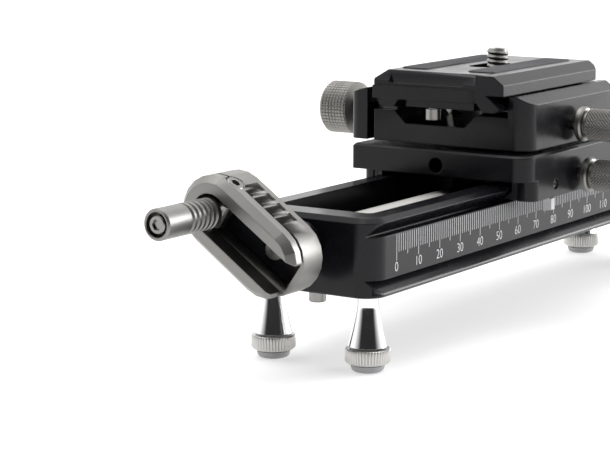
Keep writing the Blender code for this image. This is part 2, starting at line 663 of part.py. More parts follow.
def build_carriage_side(mats):
    slide = joint_frame("axis_carriage", (CARRIAGE_X, 0, PLATE_BOTTOM))
    pieces = [build_carriage_plate(mats["black"]), build_lead_nut(mats["polymer"])]
    pieces += build_gibs(mats["polymer"])
    pieces += build_carriage_small_parts(mats["steel"], mats["white"])
    bolt_profile = [(20.7 * MM, 5.0 * MM), (22.0 * MM, 5.0 * MM), (22.0 * MM, PAN_BOLT_RADIUS),
                    (30.6 * MM, PAN_BOLT_RADIUS)]
    bolt = add_object("pan_bolt", lathe(bolt_profile, "Z", (CARRIAGE_X, 0), 20), mats["steel"], True)
    pieces.append(bolt)
    ride_on(slide, *pieces)
    lock = joint_frame("axis_carriage_lock", (CARRIAGE_X, -CARRIAGE_HALF_WIDTH, CARRIAGE_LOCK_HEIGHT))
    ride_on(lock, build_side_knob("carriage_lock_knob", CARRIAGE_LOCK_HEIGHT, -CARRIAGE_HALF_WIDTH,
                                  -SKIRT_INNER, mats["champagne"]))


# ---- turning clamp ------------------------------------------------------------------
def clamp_section():
    """Section across the rail: the bed, the fixed jaw and the plate-stop channel."""
    outline = [(CLAMP_RIGHT, CLAMP_BOTTOM), (CLAMP_LEFT, CLAMP_BOTTOM), (CLAMP_LEFT, CLAMP_BED),
               (16.8 * MM, CLAMP_BED), (12.2 * MM, CHANNEL_FLOOR), (-5.4 * MM, CHANNEL_FLOOR),
               (-10.0 * MM, CLAMP_BED), (-WALL_INNER, CLAMP_BED), (-WALL_INNER, 38.9 * MM),
               (-LIP_REACH, 40.3 * MM), (-LIP_REACH, JAW_TOP), (-20.3 * MM, JAW_TOP),
               (CLAMP_RIGHT, JAW_OUTER_TOP)]
    return outline


def build_clamp_body(black):
    body = add_object("clamp_body", prism(clamp_section(), "X", CARRIAGE_X - 30 * MM,
                                          CARRIAGE_X + 30 * MM), black)
    front = CARRIAGE_X - CLAMP_HALF_LENGTH
    rear = CARRIAGE_X + CLAMP_HALF_LENGTH
    plan = rounded_rectangle((front, CLAMP_RIGHT), (rear, CLAMP_LEFT), 4.5 * MM,
                             far_radius=0.5 * MM)
    boolean(body, prism(plan, "Z", CLAMP_BOTTOM - 1 * MM, JAW_TOP + 1 * MM), "INTERSECT")
    for start, end in ((front - 1 * MM, front + SHELF_DEPTH), (rear - SHELF_DEPTH, rear + 1 * MM)):
        boolean(body, box((start, -WALL_INNER, SHELF_HEIGHT), (end, CLAMP_LEFT + 1 * MM, CLAMP_BED + 1 * MM)))
        boolean(body, box((start, -WALL_INNER - GAP, JAW_OUTER_TOP), (end, -10 * MM, JAW_TOP + 1 * MM)))
    boolean(body, lathe([(CLAMP_BOTTOM - 1 * MM, 3.4 * MM), (31 * MM, 3.4 * MM)],
                        "Z", (CARRIAGE_X, 0), 20))
    boolean(body, lathe([(CLAMP_RIGHT - 1 * MM, 2.1 * MM), (-11.6 * MM, 2.1 * MM)],
                        "Y", (CARRIAGE_X, PAN_LOCK_HEIGHT), 16))
    boolean(body, lathe([(CLAMP_BOTTOM - 1 * MM, 1.9 * MM), (PAN_LOCK_HEIGHT, 1.9 * MM)],
                        "Z", (CARRIAGE_X, PLUG_Y), 16))
    boolean(body, lathe([(10 * MM, 2.8 * MM), (CLAMP_LEFT + 1 * MM, 2.8 * MM)],
                        "Y", (CARRIAGE_X, CLAMP_SCREW_HEIGHT), 16))
    for x in guide_places():
        boolean(body, lathe([(13 * MM, 1.8 * MM), (CLAMP_LEFT + 1 * MM, 1.8 * MM)],
                            "Y", (x, GUIDE_HEIGHT), 12))
    for x in spring_places():
        boolean(body, lathe([(17 * MM, 1.9 * MM), (CLAMP_LEFT + 1 * MM, 1.9 * MM)],
                            "Y", (x, GUIDE_HEIGHT), 12))
    return body


def guide_places():
    return (CARRIAGE_X - 14 * MM, CARRIAGE_X + 14 * MM)


def spring_places():
    return (CARRIAGE_X - 8 * MM, CARRIAGE_X + 8 * MM)


def build_jaw(black):
    section = [(JAW_INNER_FACE, CLAMP_BOTTOM), (JAW_OUTER_FACE + 1 * MM, CLAMP_BOTTOM),
               (JAW_OUTER_FACE + 1 * MM, 39.0 * MM), (24 * MM, JAW_TOP), (LIP_REACH, JAW_TOP),
               (LIP_REACH, 40.3 * MM), (WALL_INNER, 38.9 * MM), (WALL_INNER, 37.15 * MM),
               (JAW_INNER_FACE, 37.15 * MM)]
    front = CARRIAGE_X - CLAMP_HALF_LENGTH
    rear = CARRIAGE_X + CLAMP_HALF_LENGTH
    jaw = add_object("movable_jaw", prism(section, "X", front - 1 * MM, rear + 1 * MM), black)
    plan = rounded_rectangle((front, LIP_REACH - 1 * MM), (rear, JAW_OUTER_FACE), 0.4 * MM,
                             far_radius=JAW_CORNER)
    boolean(jaw, prism(plan, "Z", CLAMP_BOTTOM - 1 * MM, JAW_TOP + 1 * MM), "INTERSECT")
    for start, end in ((front - 1 * MM, front + SHELF_DEPTH), (rear - SHELF_DEPTH, rear + 1 * MM)):
        boolean(jaw, box((start, LIP_REACH - 2 * MM, 36 * MM), (end, JAW_INNER_FACE, JAW_TOP + 1 * MM)))
    centre = (CARRIAGE_X, CLAMP_SCREW_HEIGHT)
    boolean(jaw, lathe([(JAW_OUTER_FACE - 1 * MM, 4.7 * MM), (JAW_BOSS_END, 4.7 * MM)],
                       "Y", centre), "UNION")
    boolean(jaw, lathe([(JAW_INNER_FACE - 1 * MM, 2.8 * MM), (JAW_BOSS_END + 1 * MM, 2.8 * MM)],
                       "Y", centre, 16))
    for x in guide_places():
        boolean(jaw, lathe([(JAW_INNER_FACE - 1 * MM, 1.8 * MM), (JAW_OUTER_FACE + 1 * MM, 1.8 * MM)],
                           "Y", (x, GUIDE_HEIGHT), 12))
    return jaw


def build_clamp_side(mats):
    pan = joint_frame("axis_pan", (CARRIAGE_X, 0, CLAMP_BOTTOM))
    body = build_clamp_body(mats["black"])
    washer = add_object("pan_turntable", ring(TURNTABLE_RADIUS, PAN_BOLT_RADIUS + GAP, "Z", (CARRIAGE_X, 0),
                                              PLATE_TOP - 1.3 * MM, CLAMP_BOTTOM - GAP), mats["bronze"])
    plug = add_object("pan_brake_plug", lathe([(PLATE_TOP + GAP, 1.6 * MM), (30.1 * MM, 1.6 * MM)],
                                              "Z", (CARRIAGE_X, PLUG_Y), 16), mats["brass"], True)
    pins = [lathe([(13.3 * MM, 1.5 * MM), (JAW_OUTER_FACE - 0.3 * MM, 1.5 * MM)],
                  "Y", (x, GUIDE_HEIGHT), 12) for x in guide_places()]
    guide_pins = add_copies("jaw_guide_pin", pins, mats["steel"])
    springs = [coil(x, GUIDE_HEIGHT, 17.3 * MM, JAW_INNER_FACE - GAP) for x in spring_places()]
    spring_pair = add_copies("jaw_spring", springs, mats["steel"])
    ride_on(pan, body, washer, plug, *guide_pins, *spring_pair)
    lock = joint_frame("axis_pan_lock", (CARRIAGE_X, CLAMP_RIGHT, PAN_LOCK_HEIGHT))
    ride_on(lock, build_side_knob("pan_lock_knob", PAN_LOCK_HEIGHT, CLAMP_RIGHT, -12 * MM,
                                  mats["champagne"]))
    slide = joint_frame("axis_jaw", (CARRIAGE_X, JAW_INNER_FACE, CLAMP_SCREW_HEIGHT))
    ride_on(slide, build_jaw(mats["black"]))
    turn = joint_frame("axis_clamp_knob", (CARRIAGE_X, JAW_BOSS_END, CLAMP_SCREW_HEIGHT))
    neck = JAW_BOSS_END + GAP
    profile = [(13.8 * MM, 2.5 * MM), (neck, 2.5 * MM), (neck, 4.2 * MM),
               (KNOB_NEAR, 4.2 * MM), (KNOB_NEAR, KNOB_RADIUS - 0.9 * MM),
               (KNOB_NEAR + 0.7 * MM, KNOB_RADIUS), (KNOB_FAR - 0.8 * MM, KNOB_RADIUS),
               (KNOB_FAR, KNOB_RADIUS - 0.8 * MM)]
    knob = add_object("clamp_knob", lathe(profile, "Y", (CARRIAGE_X, CLAMP_SCREW_HEIGHT), 28),
                      mats["champagne"], True)
    ride_on(turn, knob)


def coil(x, z, start, end, radius=1.25 * MM, wire=0.3 * MM, turns=4, per_turn=8, sides=5):
    """A compression spring: round wire swept along a helix about Y."""
    bm = bmesh.new()
    rings = []
    count = turns * per_turn
    length = end - start - 2 * wire
    for i in range(count + 1):
        angle = 2 * math.pi * i / per_turn
        y = start + wire + length * i / count
        loop = []
        for k in range(sides):
            tilt = 2 * math.pi * k / sides
            out = radius + wire * math.cos(tilt)
            loop.append(bm.verts.new((x + out * math.cos(angle), y + wire * math.sin(tilt),
                                      z + out * math.sin(angle))))
        rings.append(loop)
    for low, high in zip(rings, rings[1:]):
        for k in range(sides):
            j = (k + 1) % sides
            bm.faces.new((low[k], low[j], high[j], high[k]))
    bm.faces.new(rings[0])
    bm.faces.new(rings[-1])
    return bm


# ---- quick-release plate ------------------------------------------------------------
def quick_release_section():
    """Section of the plate: dovetail flanges, groove ledges and chamfered top edges."""
    half = QR_HALF_WIDTH
    side = [(QR_FLANGE - 1.2 * MM, QR_BOTTOM), (QR_FLANGE - 0.3 * MM, QR_BOTTOM + 0.4 * MM),
            (QR_FLANGE, 38.0 * MM), (QR_FLANGE - 0.2 * MM, 38.7 * MM), (QR_APEX, QR_LEDGE),
            (half, QR_LEDGE), (half, 44.2 * MM), (half - 3 * MM, QR_TOP)]
    inner = [(11.4 * MM, 39.3 * MM), (13 * MM, QR_BOTTOM)]
    right = [(-y, z) for y, z in side][::-1]
    return inner + side + right + [(-y, z) for y, z in inner][::-1]


def slanted_prism(outline, lip):
    """A wedge across the plate's front whose near end leans back like the corner chamfer."""
    bm = bmesh.new()
    near = [bm.verts.new((x, QR_NOSE_END - CORNER_SLANT * (x - lip), z)) for x, z in outline]
    far = [bm.verts.new((x, QR_HALF_WIDTH + 1 * MM, z)) for x, z in outline]
    count = len(outline)
    for i in range(count):
        j = (i + 1) % count
        bm.faces.new((near[i], near[j], far[j], far[i]))
    bm.faces.new(near)
    bm.faces.new(far)
    return bm


def build_quick_release(black, rubber, steel):
    plate = add_object("quick_release_plate", prism(quick_release_section(), "X", QR_FRONT, QR_REAR),
                       black)
    lip = QR_FRONT - QR_NOSE
    slope_top = QR_FRONT + 2.2 * MM
    chamfer = CORNER_SLANT * QR_NOSE
    strip = [(QR_FRONT + 0.5 * MM, 18.9 * MM), (lip, 18.9 * MM), (lip, QR_NOSE_END),
             (QR_FRONT, QR_NOSE_END - chamfer), (QR_FRONT + 0.5 * MM, QR_NOSE_END - chamfer)]
    boolean(plate, prism(strip, "Z", 39.2 * MM, NOSE_TOP), "UNION")
    boolean(plate, box((QR_FRONT + 2 * MM, -9.5 * MM, QR_BOTTOM),
                       (QR_REAR - 2 * MM, 10.5 * MM, 40 * MM)), "UNION")
    rise = (QR_TOP - NOSE_TOP) / (slope_top - lip)
    slope = [(lip - 1 * MM, NOSE_TOP - rise * 1 * MM), (slope_top + 1 * MM, QR_TOP + rise * 1 * MM),
             (lip - 1 * MM, QR_TOP + rise * 1 * MM)]
    boolean(plate, slanted_prism(slope, lip))
    window_back = slope_top - 0.9 * MM
    window = [(lip - 1 * MM, WINDOW_BOTTOM), (window_back, WINDOW_BOTTOM),
              (window_back, WINDOW_TOP), (lip - 1 * MM, WINDOW_TOP)]
    boolean(plate, prism(window, "Y", -7.5 * MM, 14.5 * MM))
    corner = 3 * MM
    for side in (-1, 1):
        wedge = [(QR_REAR - corner, side * (QR_HALF_WIDTH + 1 * MM)),
                 (QR_REAR + 2 * MM, side * (QR_HALF_WIDTH + 1 * MM)),
                 (QR_REAR + 2 * MM, side * (QR_HALF_WIDTH - corner))]
        boolean(plate, prism(wedge, "Z", QR_BOTTOM - 1 * MM, QR_TOP + 1 * MM))
    boolean(plate, prism(screw_slot(6.6 * MM), "Z", QR_BOTTOM - 1 * MM, 41.6 * MM))
    boolean(plate, prism(screw_slot(3.4 * MM), "Z", QR_BOTTOM, QR_TOP + 1 * MM))
    for x in plate_stop_places():
        boolean(plate, lathe([(QR_BOTTOM - 1 * MM, 1.5 * MM), (40.5 * MM, 1.5 * MM)],
                             "Z", (x, PLATE_STOP_Y), 12))
    for side in (-1, 1):
        boolean(plate, prism(pad_outline(side, 0), "Z", QR_TOP - 0.6 * MM, QR_TOP + 1 * MM))
    pads = [add_object(name, prism(pad_outline(side, GAP), "Z", QR_TOP - 0.6 * MM + GAP,
                                   QR_TOP + 0.4 * MM), rubber)
            for name, side in (("rubber_pad_right", -1), ("rubber_pad_left", 1))]
    stops = [lathe([(33.8 * MM, 1.7 * MM), (34.1 * MM, 2.0 * MM), (QR_BOTTOM - GAP, 2.0 * MM),
                    (QR_BOTTOM - GAP, 1.2 * MM), (40.2 * MM, 1.2 * MM)], "Z", (x, PLATE_STOP_Y), 16)
             for x in plate_stop_places()]
    stop_screws = add_copies("plate_stop_screw", stops, steel)
    return [plate, *pads, *stop_screws]


def screw_slot(radius):
    """The lengthwise slot that the camera screw stands in, in plan."""
    return rounded_rectangle((CAMERA_SCREW_X - SCREW_TRAVEL - radius, -radius),
                             (CAMERA_SCREW_X + radius, radius), radius * 0.98, 6)


def pad_outline(side, inset):
    low_y, high_y = (-12.4 * MM, -4.1 * MM) if side < 0 else (7.4 * MM, 15.6 * MM)
    return rounded_rectangle((QR_FRONT + 7.2 * MM + inset, low_y + inset),
                             (QR_REAR - 3 * MM - inset, high_y - inset), 1.5 * MM - inset, 3)


def plate_stop_places():
    return (QR_FRONT + 3.6 * MM, QR_REAR - 4.5 * MM)


def build_plate_side(mats):
    slide = joint_frame("axis_plate", (0, 0, QR_BOTTOM))
    ride_on(slide, *build_quick_release(mats["black"], mats["rubber"], mats["steel"]))
    turn = joint_frame("axis_camera_screw", (CAMERA_SCREW_X, 0, QR_TOP))
    profile = [(37.6 * MM, 5.6 * MM), (38.0 * MM, CAMERA_SCREW_HEAD), (41.2 * MM, CAMERA_SCREW_HEAD),
               (41.2 * MM, CAMERA_SCREW_RADIUS), (50.0 * MM, CAMERA_SCREW_RADIUS), (50.5 * MM, 2.4 * MM)]
    screw = add_object("camera_screw", lathe(profile, "Z", (CAMERA_SCREW_X, 0)), mats["steel"], True)
    ride_on(turn, screw)


# ---- the whole object ---------------------------------------------------------------
def make_materials():
    return {
        "black": make_material("black_anodised", (0.018, 0.018, 0.022), 0.38, 0.8),
        "silver_grey": make_material("silver_grey_anodised", (0.42, 0.41, 0.40), 0.33, 1.0),
        "champagne": make_material("champagne_grey", (0.40, 0.385, 0.36), 0.35, 1.0),
        "steel": make_material("polished_steel", (0.72, 0.71, 0.70), 0.15, 1.0),
        "chrome": make_material("chromed_steel", (0.82, 0.82, 0.83), 0.06, 1.0),
        "satin": make_material("satin_steel", (0.60, 0.59, 0.58), 0.30, 1.0),
        "brass": make_material("brass", (0.70, 0.52, 0.22), 0.30, 1.0),
        "bronze": make_material("bronze", (0.45, 0.30, 0.16), 0.40, 1.0),
        "rubber": make_material("grey_rubber", (0.16, 0.16, 0.17), 0.80, 0.0),
        "polymer": make_material("black_polymer", (0.02, 0.02, 0.02), 0.5, 0.0),
        "white": make_material("pointer_paint", (0.75, 0.75, 0.76), 0.45, 0.0),
    }


def main():
    clear_scene()
    mats = make_materials()
    build_rail(mats["black"])
    build_bearings(mats["steel"], mats["black"])
    build_stop_screws(mats["steel"])
    build_feet(mats["chrome"], mats["satin"], mats["rubber"])
    build_crank_side(mats)
    build_carriage_side(mats)
    build_clamp_side(mats)
    build_plate_side(mats)


main()
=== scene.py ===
"""Looks of the macro focusing rail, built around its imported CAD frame.

The frame's solids keep their places. Round and knurled pieces are turned again here with
their fine surface, and the milled ones are shown as smooth-shaded copies.
Lengths are in metres, +X runs along the rail away from the crank, the scale side faces -Y.
"""
import json
import math

import bmesh
import bpy
from mathutils import Matrix, Vector


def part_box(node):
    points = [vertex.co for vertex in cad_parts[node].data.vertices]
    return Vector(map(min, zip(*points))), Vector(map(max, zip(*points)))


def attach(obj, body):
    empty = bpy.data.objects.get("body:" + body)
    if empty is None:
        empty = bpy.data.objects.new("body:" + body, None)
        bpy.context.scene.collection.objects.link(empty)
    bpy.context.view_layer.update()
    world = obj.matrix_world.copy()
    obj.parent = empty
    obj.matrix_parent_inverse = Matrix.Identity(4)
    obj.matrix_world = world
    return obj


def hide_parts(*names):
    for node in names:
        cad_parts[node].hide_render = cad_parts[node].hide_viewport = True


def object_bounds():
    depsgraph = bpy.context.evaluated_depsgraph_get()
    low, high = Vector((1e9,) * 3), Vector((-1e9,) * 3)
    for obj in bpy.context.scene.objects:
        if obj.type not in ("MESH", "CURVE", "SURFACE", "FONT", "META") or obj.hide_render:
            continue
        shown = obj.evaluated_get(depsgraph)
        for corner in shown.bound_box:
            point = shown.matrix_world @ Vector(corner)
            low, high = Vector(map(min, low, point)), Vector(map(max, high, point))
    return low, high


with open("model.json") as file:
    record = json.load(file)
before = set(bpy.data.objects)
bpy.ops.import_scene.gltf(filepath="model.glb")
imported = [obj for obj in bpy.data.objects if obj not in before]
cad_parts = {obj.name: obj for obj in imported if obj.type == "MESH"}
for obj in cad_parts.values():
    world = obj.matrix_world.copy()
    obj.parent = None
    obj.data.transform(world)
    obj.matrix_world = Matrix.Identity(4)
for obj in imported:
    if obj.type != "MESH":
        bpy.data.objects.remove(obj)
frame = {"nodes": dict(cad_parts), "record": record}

CAD_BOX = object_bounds()

MM = 0.001
TURN = 2 * math.pi
BEHAVIOUR = frame["record"]["behaviour"]
BODY_OF = {node: body for body, nodes in BEHAVIOUR["bodies"].items() for node in nodes}
SLOT_OF = {part["node"]: part["material_slot"] for part in frame["record"]["subparts"]}
FEET = ("front_right", "front_left", "rear_right", "rear_left")


# ---- materials ----------------------------------------------------------------------
MOTTLE_SCALE = 90.0
MOTTLE_GLOSS = 0.04
GRAIN_GLOSS = 0.03
BEVEL_SAMPLES = 4
# The mix node has sockets of the same name for each kind of data, so these go by number.
MIX_COLOUR_A = 6
MIX_COLOUR_B = 7
MIX_COLOUR_RESULT = 2

FINISHES = {
    "black_anodised": dict(colour=(0.006, 0.006, 0.008), roughness=0.24, metallic=0.0,
                           edge=0.35 * MM, grain=7000.0, grain_depth=1.5e-6, shine=0.24),
    "silver_grey_anodised": dict(colour=(0.25, 0.245, 0.235), roughness=0.40, metallic=1.0,
                                 edge=0.3 * MM, grain_depth=6e-6),
    "champagne_grey": dict(colour=(0.23, 0.225, 0.21), roughness=0.40, metallic=1.0,
                           edge=0.08 * MM),
    "steel": dict(colour=(0.27, 0.265, 0.255), roughness=0.30, metallic=1.0,
                  edge=0.08 * MM, stretch=(0.15, 1, 1)),
    "chrome": dict(colour=(0.78, 0.78, 0.79), roughness=0.10, metallic=1.0, variation=0.02,
                   edge=0.05 * MM, grain_depth=1e-6),
    "satin_steel": dict(colour=(0.58, 0.57, 0.55), roughness=0.30, metallic=1.0,
                        edge=0.05 * MM),
    "brass": dict(colour=(0.66, 0.48, 0.20), roughness=0.28, metallic=1.0),
    "bronze": dict(colour=(0.42, 0.28, 0.15), roughness=0.38, metallic=1.0),
    "black_polymer": dict(colour=(0.014, 0.014, 0.015), roughness=0.46, metallic=0.0,
                          grain=5000.0),
    "black_rubber": dict(colour=(0.045, 0.045, 0.050), roughness=0.62, metallic=0.0,
                         variation=0.25, grain=4200.0, grain_depth=4e-5, edge=0.05 * MM),
    "grey_rubber": dict(colour=(0.36, 0.36, 0.37), roughness=0.66, metallic=0.0,
                        variation=0.10, grain=5200.0, grain_depth=1e-5),
    "white_mark": dict(colour=(0.60, 0.60, 0.62), roughness=0.45, metallic=0.0,
                       variation=0.03, edge=0.04 * MM),
}


class Nodes:
    """A short way to add and join shader nodes in one material or world."""

    def __init__(self, tree):
        self.tree = tree

    def add(self, kind, settings=(), **inputs):
        """A new node. Each keyword names an input, with _ for a space, and gives it a
        value or the socket that feeds it."""
        node = self.tree.nodes.new(kind)
        for key, value in settings:
            setattr(node, key, value)
        for key, value in inputs.items():
            socket = node.inputs[key.replace("_", " ")]
            if isinstance(value, bpy.types.NodeSocket):
                self.join(value, socket)
            else:
                socket.default_value = value
        return node

    def join(self, source, target):
        self.tree.links.new(source, target)


def noise(kit, place, scale, detail=3.0, rough=0.6):
    """Noise from 0 to 1 at each place."""
    return kit.add("ShaderNodeTexNoise", Vector=place, Scale=scale, Detail=detail,
                   Roughness=rough).outputs["Fac"]


def spread(kit, value, low, high, from_low=0.3, from_high=0.7):
    """Maps a value to the range from low to high. Noise mostly lies from 0.3 to 0.7."""
    node = kit.add("ShaderNodeMapRange", Value=value)
    for key, number in (("From Min", from_low), ("From Max", from_high),
                        ("To Min", low), ("To Max", high)):
        node.inputs[key].default_value = number
    return node.outputs["Result"]


def make_finish(name, colour, roughness, metallic, variation=0.06, grain=9000.0,
                grain_depth=3e-6, edge=0.25 * MM, shine=0.5, stretch=(1, 1, 1)):
    """A procedural finish: mottled colour, uneven gloss, fine grain and softened edges."""
    material = bpy.data.materials.new(name)
    material.use_nodes = True
    kit = Nodes(material.node_tree)
    shader = material.node_tree.nodes["Principled BSDF"]
    where = kit.add("ShaderNodeTexCoord").outputs["Object"]
    where = kit.add("ShaderNodeMapping", Vector=where, Scale=stretch).outputs["Vector"]
    broad = noise(kit, where, MOTTLE_SCALE)
    fine = noise(kit, where, grain, detail=2.0)

    dark = [part * (1 - variation) for part in colour]
    light = [part * (1 + variation) for part in colour]
    blend = kit.add("ShaderNodeMix", [("data_type", "RGBA")])
    kit.join(spread(kit, broad, 0.0, 1.0), blend.inputs["Factor"])
    blend.inputs[MIX_COLOUR_A].default_value = (*dark, 1)
    blend.inputs[MIX_COLOUR_B].default_value = (*light, 1)
    kit.join(blend.outputs[MIX_COLOUR_RESULT], shader.inputs["Base Color"])

    gloss = kit.add("ShaderNodeMath", [("operation", "ADD")])
    kit.join(spread(kit, broad, -MOTTLE_GLOSS, MOTTLE_GLOSS), gloss.inputs[0])
    kit.join(spread(kit, fine, roughness - GRAIN_GLOSS, roughness + GRAIN_GLOSS),
             gloss.inputs[1])
    kit.join(gloss.outputs[0], shader.inputs["Roughness"])

    bevel = kit.add("ShaderNodeBevel", [("samples", BEVEL_SAMPLES)], Radius=edge)
    bump = kit.add("ShaderNodeBump", Height=fine, Normal=bevel.outputs["Normal"],
                   Distance=grain_depth)
    kit.join(bump.outputs["Normal"], shader.inputs["Normal"])
    shader.inputs["Metallic"].default_value = metallic
    shader.inputs["Specular IOR Level"].default_value = shine
    return material


MATERIALS = {slot: make_finish(slot, **look) for slot, look in FINISHES.items()}


# ---- modelling kit ------------------------------------------------------------------
# Edges above these angles, in degrees, are shaded sharp.
SHARP = 35
MILLED_SHARP = 32
KNURL_SHARP = 25
PAD_SHARP = 30
LEAD_THREAD_SHARP = 60
TRIPOD_THREAD_SHARP = 50

WELD = 0.002 * MM
FLAT_ANGLE = 0.4
FLAT_FACE_WEIGHT = 90


def add_piece(name, bm, sharp=SHARP):
    """A new piece from a bmesh, shaded smooth except at edges above the sharp angle."""
    bmesh.ops.recalc_face_normals(bm, faces=bm.faces)
    mesh = bpy.data.meshes.new(name)
    bm.to_mesh(mesh)
    bm.free()
    mesh.shade_smooth()
    mesh.set_sharp_from_angle(angle=math.radians(sharp))
    piece = bpy.data.objects.new(name, mesh)
    bpy.context.scene.collection.objects.link(piece)
    return piece


def stand_for(piece, node):
    """The piece shows in place of a CAD node, on its body and in its finish."""
    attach(piece, BODY_OF[node])
    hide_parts(node)
    piece.data.materials.append(MATERIALS[SLOT_OF[node]])


def add_trim(piece, body, slot):
    """The piece is printed on a body and stands for no CAD node."""
    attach(piece, body)
    piece.data.materials.append(MATERIALS[slot])


def joint_of(name):
    """The record's joint of this name."""
    return next(joint for joint in BEHAVIOUR["joints"] if joint["name"] == name)


def point(axis, along, centre, radius, angle):
    """A place at an angle around an axis that runs through centre."""
    a = centre[0] + radius * math.cos(angle)
    b = centre[1] + radius * math.sin(angle)
    if axis == "X":
        return (along, a, b)
    if axis == "Y":
        return (a, along, b)
    return (a, b, along)


def ring(bm, axis, along, centre, size, steps, relief=None):
    """A loop of vertices around an axis. Size is a radius, or a function of the angle."""
    loop = []
    for i in range(steps):
        angle = TURN * i / steps
        radius = size(angle) if callable(size) else size
        if relief:
            radius = relief(along, angle, radius)
        loop.append(bm.verts.new(point(axis, along, centre, radius, angle)))
    return loop


def bridge(bm, low, high):
    """A band of quads between two loops with as many vertices."""
    for i in range(len(low)):
        j = (i + 1) % len(low)
        bm.faces.new((low[i], low[j], high[j], high[i]))


def turned(name, profile, axis, centre, steps=48, relief=None, sharp=SHARP):
    """A turned piece through [(along, radius), ...]. A radius may be a function of the
    angle, and relief(along, angle, radius) gives the radius of the finished surface."""
    bm = bmesh.new()
    rings = [ring(bm, axis, along, centre, size, steps, relief) for along, size in profile]
    for low, high in zip(rings, rings[1:]):
        bridge(bm, low, high)
    bm.faces.new(rings[0])
    bm.faces.new(rings[-1])
    return add_piece(name, bm, sharp)


def hexagon(across_flats):
    """Radius of a hexagon socket at each angle."""
    sixth = TURN / 6
    return lambda angle: across_flats / 2 / math.cos(angle % sixth - sixth / 2)


def fill(start, end, radius, step):
    """Even rings between two places: the stretch of a profile that carries a relief."""
    count = max(2, round(abs(end - start) / step))
    return [(start + (end - start) * i / count, radius) for i in range(count + 1)]


def wave(turns):
    """A triangle wave between 0 and 1."""
    return abs((turns % 1) * 2 - 1)


def axis_centre(node, axis):
    """The two coordinates of a round CAD node's own axis."""
    low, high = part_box(node)
    middle = (low + high) / 2
    return {"X": (middle.y, middle.z), "Y": (middle.x, middle.z),
            "Z": (middle.x, middle.y)}[axis]


def cut_away(bm, cutter):
    """The shape less the cutter piece, which is used up."""
    shape = add_piece("shape", bm)
    cut = shape.modifiers.new("cut", "BOOLEAN")
    cut.object = cutter
    bpy.context.view_layer.update()
    result = shape.evaluated_get(bpy.context.evaluated_depsgraph_get()).to_mesh()
    left = bmesh.new()
    left.from_mesh(result)
    for used in (shape, cutter):
        bpy.data.meshes.remove(used.data)
    return left


def smooth_copy(node, cutter=None):
    """A milled CAD piece with its rounded corners shaded smooth."""
    bm = bmesh.new()
    bm.from_mesh(frame["nodes"][node].data)
    bm.transform(frame["nodes"][node].matrix_world)
    bmesh.ops.remove_doubles(bm, verts=bm.verts, dist=WELD)
    if cutter:
        bm = cut_away(bm, cutter)
    bmesh.ops.dissolve_limit(bm, angle_limit=math.radians(FLAT_ANGLE), verts=bm.verts,
                             edges=bm.edges)
    piece = add_piece(f"{node}_shown", bm, MILLED_SHARP)
    weighted = piece.modifiers.new("flat_faces", "WEIGHTED_NORMAL")
    weighted.weight = FLAT_FACE_WEIGHT
    weighted.keep_sharp = True
    stand_for(piece, node)


# ---- knobs --------------------------------------------------------------------------
BARREL_STEPS = 224
CLAMP_KNOB_STEPS = 276
SURFACE_SHARE = 0.99


def knurl(start, end, radius, cut_depth):
    """Cuts cut_depth(along, angle) into the surface at this radius, between two places.
    Rings that are clearly smaller than the radius stay plain."""
    def relief(along, angle, size):
        if not start <= along <= end or size < radius * SURFACE_SHARE:
            return size
        return size - cut_depth(along - start, angle)
    return relief


def diamond_knurl(start, end, radius, pitch, depth):
    """Two crossing helical cuts."""
    around = round(TURN * radius / pitch)

    def cut_depth(along, angle):
        along_turns = along / pitch
        around_turns = around * angle / TURN
        cut = max(wave(around_turns + along_turns), wave(around_turns - along_turns))
        return depth * cut ** 2
    return knurl(start, end, radius, cut_depth)


def square_knurl(start, end, radius, pitch, depth):
    """Straight cuts along and around."""
    around = round(TURN * radius / pitch)

    def cut_depth(along, angle):
        return depth * max(wave(around * angle / TURN), wave(along / pitch)) ** 4
    return knurl(start, end, radius, cut_depth)


def straight_knurl(start, end, radius, teeth, depth):
    """Straight cuts along."""
    def cut_depth(along, angle):
        return depth * wave(teeth * angle / TURN) ** 2
    return knurl(start, end, radius, cut_depth)


def build_side_knob(node):
    """Bright collar, neck and diamond-knurled barrel, reaching out along -Y."""
    low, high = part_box(node)
    collar = (high.x - low.x) / 2
    barrel = collar - 0.35 * MM
    neck = barrel - 0.8 * MM
    spindle = 1.7 * MM
    bevel = 0.3 * MM
    outer_end = low.y
    collar_start = outer_end + 17.5 * MM
    knurl_start = outer_end + 1.0 * MM
    knurl_end = collar_start - 3.2 * MM
    profile = [(high.y, spindle), (collar_start, spindle), (collar_start, collar - bevel),
               (collar_start - bevel, collar), (collar_start - 1.4 * MM, collar),
               (collar_start - 1.9 * MM, barrel), (collar_start - 2.1 * MM, neck),
               (collar_start - 2.8 * MM, neck), (collar_start - 3.1 * MM, barrel)]
    profile += fill(knurl_end, knurl_start, barrel, step=0.13 * MM)
    profile += [(outer_end + 0.7 * MM, barrel - 0.1 * MM), (outer_end, neck)]
    relief = diamond_knurl(knurl_start, knurl_end, barrel, pitch=0.9 * MM, depth=0.32 * MM)
    stand_for(turned(f"{node}_turned", profile, "Y", axis_centre(node, "Y"), BARREL_STEPS,
                     relief, KNURL_SHARP), node)


